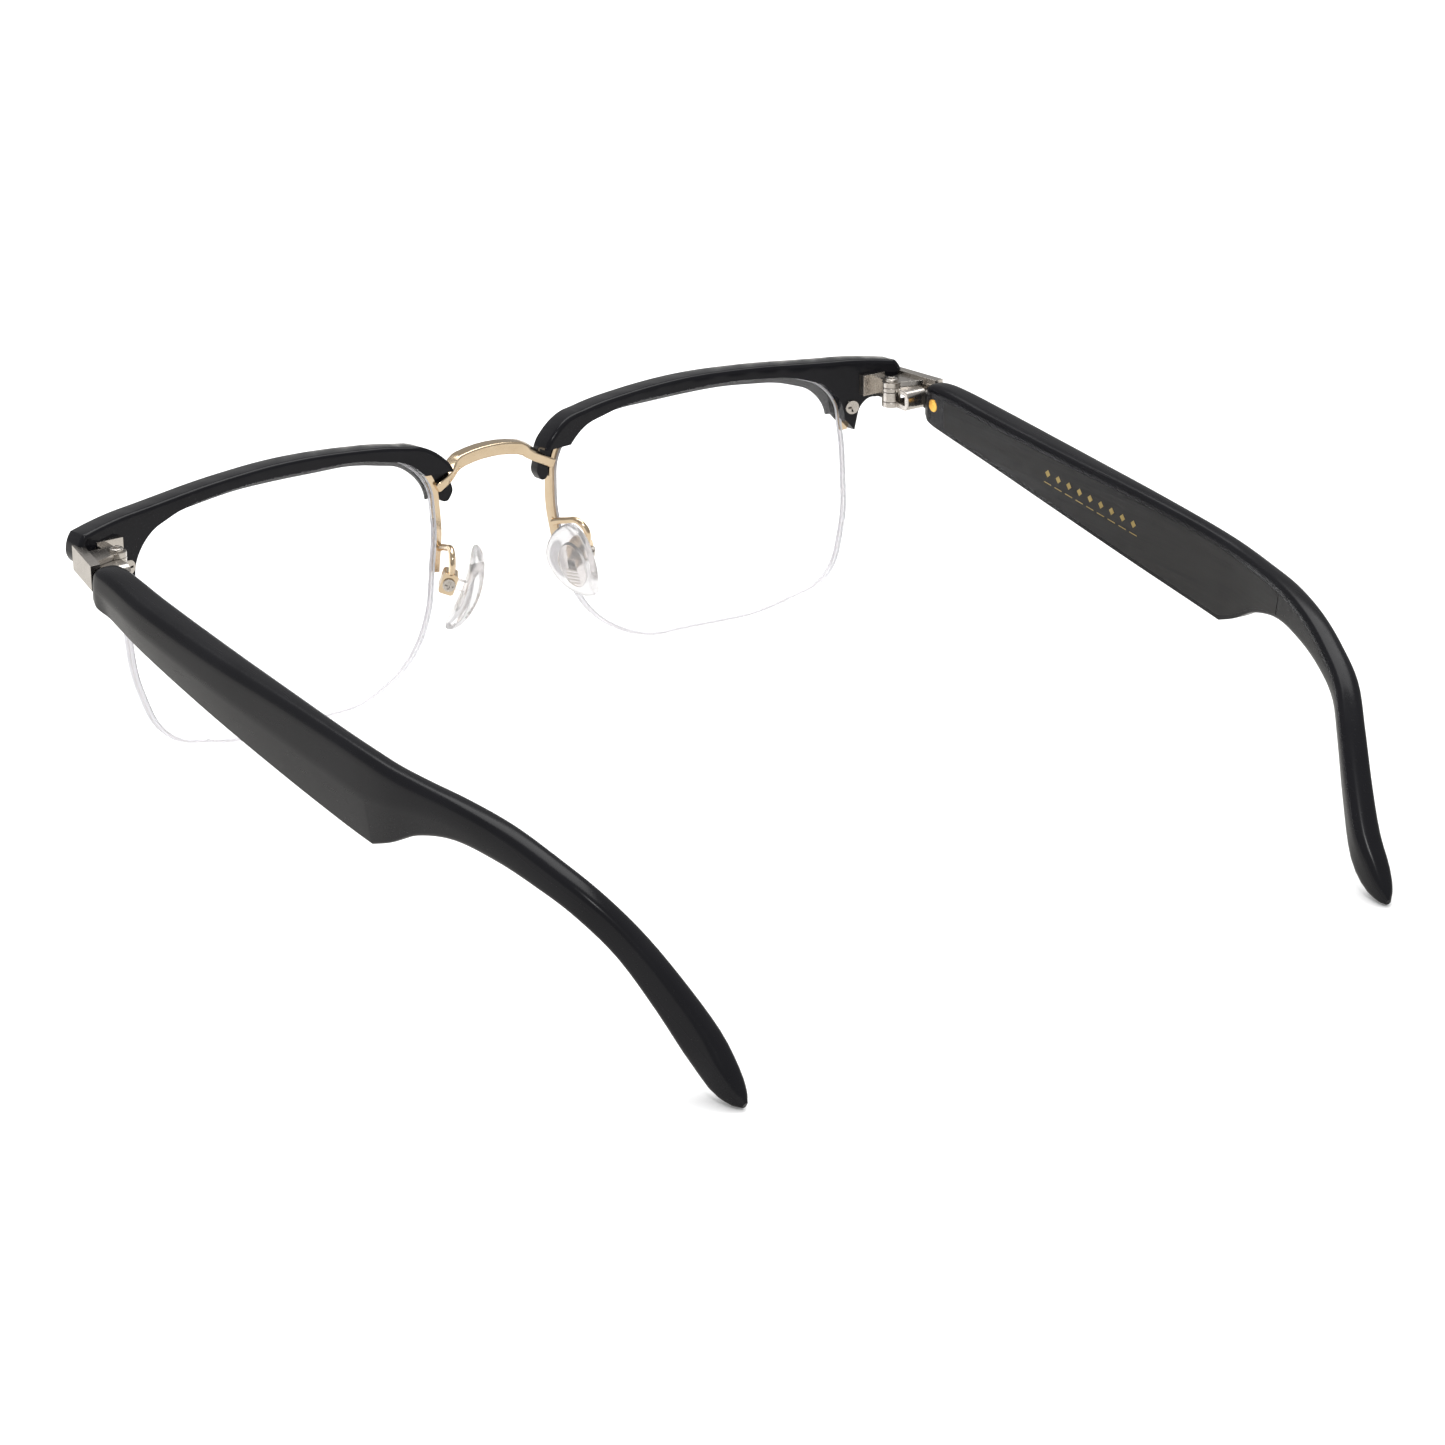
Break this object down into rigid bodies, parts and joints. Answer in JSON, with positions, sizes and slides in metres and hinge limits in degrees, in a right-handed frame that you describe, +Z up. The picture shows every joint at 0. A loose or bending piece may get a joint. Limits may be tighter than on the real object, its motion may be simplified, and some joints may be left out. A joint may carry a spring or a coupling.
{
  "type": "half rim eyeglasses",
  "caption": "Half rim eyeglasses with black brow bars and temples, gold bridge and eyewires, nylon-strung lenses and rocking nose pads.",
  "frame": {"origin": "centre of the open glasses' outline on the surface that they stand on", "axes": "+X to the wearer's left, +Y from the front towards the temple tips, +Z up"},
  "size_m": [0.147, 0.1438, 0.0397],
  "materials": {
    "black_acetate": "gloss",
    "grained_inlay": "matte",
    "gold_metal": "polished",
    "gold_rivet": "satin",
    "nickel_steel": "satin",
    "dark_steel": "satin",
    "clear_lens": "gloss",
    "clear_nylon": "satin",
    "clear_silicone": "satin",
    "pad_insert": "gloss"
  },
  "bodies": {
    "front": {"bridge": "gold_metal", "left_brow_bar": "black_acetate", "right_brow_bar": "black_acetate", "left_eyewire": "gold_metal", "right_eyewire": "gold_metal", "left_lens": "clear_lens", "right_lens": "clear_lens", "left_lens_cord": "clear_nylon", "right_lens_cord": "clear_nylon", "left_lens_liner": "clear_nylon", "right_lens_liner": "clear_nylon", "left_brow_screw": "nickel_steel", "right_brow_screw": "nickel_steel", "left_endpiece": "nickel_steel", "right_endpiece": "nickel_steel", "left_hinge_screw": "nickel_steel", "right_hinge_screw": "nickel_steel", "left_pad_arm": "gold_metal", "right_pad_arm": "gold_metal", "left_pad_box": "gold_metal", "right_pad_box": "gold_metal", "left_pad_screw": "nickel_steel", "right_pad_screw": "nickel_steel"},
    "left_temple_arm": {"left_temple": "black_acetate", "left_temple_inlay": "grained_inlay", "left_temple_rivet": "gold_rivet", "left_core_wire": "dark_steel", "left_hinge_leaf": "nickel_steel"},
    "left_pad_assembly": {"left_nose_pad": "clear_silicone", "left_pad_core": "pad_insert"},
    "right_temple_arm": {"right_temple": "black_acetate", "right_temple_inlay": "grained_inlay", "right_temple_rivet": "gold_rivet", "right_core_wire": "dark_steel", "right_hinge_leaf": "nickel_steel"},
    "right_pad_assembly": {"right_nose_pad": "clear_silicone", "right_pad_core": "pad_insert"}
  },
  "joints": [
    {"name": "left_temple_fold", "type": "hinge", "parent": "front", "child": "left_temple_arm", "pos_m": [0.066, -0.05942, 0.0335], "axis": [0, 0, 1], "range_deg": [0, 84]},
    {"name": "right_temple_fold", "type": "hinge", "parent": "front", "child": "right_temple_arm", "pos_m": [-0.066, -0.05942, 0.0335], "axis": [0, 0, -1], "range_deg": [0, 75]},
    {"name": "left_pad_rock", "type": "hinge", "parent": "front", "child": "left_pad_assembly", "pos_m": [0.01148, -0.06232, 0.01841], "axis": [0.515, 0.8572, 0], "range_deg": [-8, 8]},
    {"name": "right_pad_rock", "type": "hinge", "parent": "front", "child": "right_pad_assembly", "pos_m": [-0.01148, -0.06232, 0.01841], "axis": [-0.515, 0.8572, 0], "range_deg": [-8, 8]}
  ]
}
